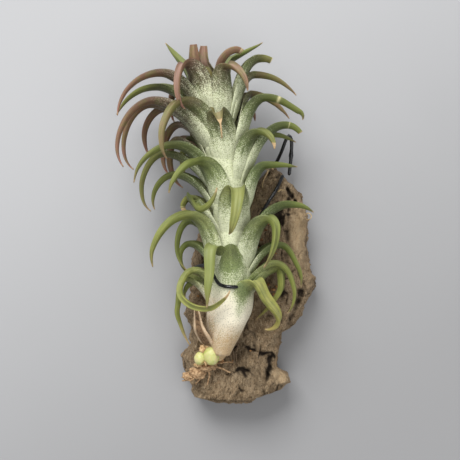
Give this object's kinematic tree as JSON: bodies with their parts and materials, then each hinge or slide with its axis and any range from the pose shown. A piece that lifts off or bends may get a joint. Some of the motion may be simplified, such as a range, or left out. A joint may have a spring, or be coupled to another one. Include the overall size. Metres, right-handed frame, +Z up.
{
  "type": "air plant on cork bark",
  "caption": "Tall leafy air plant with arching channelled leaves and a bronze crown, tied by a black wire with a hook to a rough slab of cork bark, lying on its back",
  "frame": {"origin": "on the surface that the bark lies on, under the middle of the whole object", "axes": "+X to the right and +Y towards the crown when the plant is looked at from its front, +Z up and away from the bark's flat back"},
  "size_m": [0.1032, 0.1857, 0.0638],
  "materials": {
    "green_leaf": "matt leaf with a silvery scurf, pale at the base and green on the shoulders",
    "bronze_leaf": "matt leaf, silvery green at the base, bronze to pink along the arms",
    "dry_leaf": "dry, papery, tan",
    "pale_bud": "smooth, waxy, pale yellow-green",
    "brown_root": "dry, wiry, brown",
    "cork_bark": "rough cork bark, grey-brown with dark cracks",
    "black_wire": "black plastic coating, glossy"
  },
  "bodies": {
    "root": {"leafy_stem": "green_leaf", "crown_leaves": "bronze_leaf", "dry_leaf": "dry_leaf", "basal_buds": "pale_bud", "root_tuft": "brown_root", "cork_bark": "cork_bark", "wire_tie": "black_wire"}
  },
  "joints": []
}
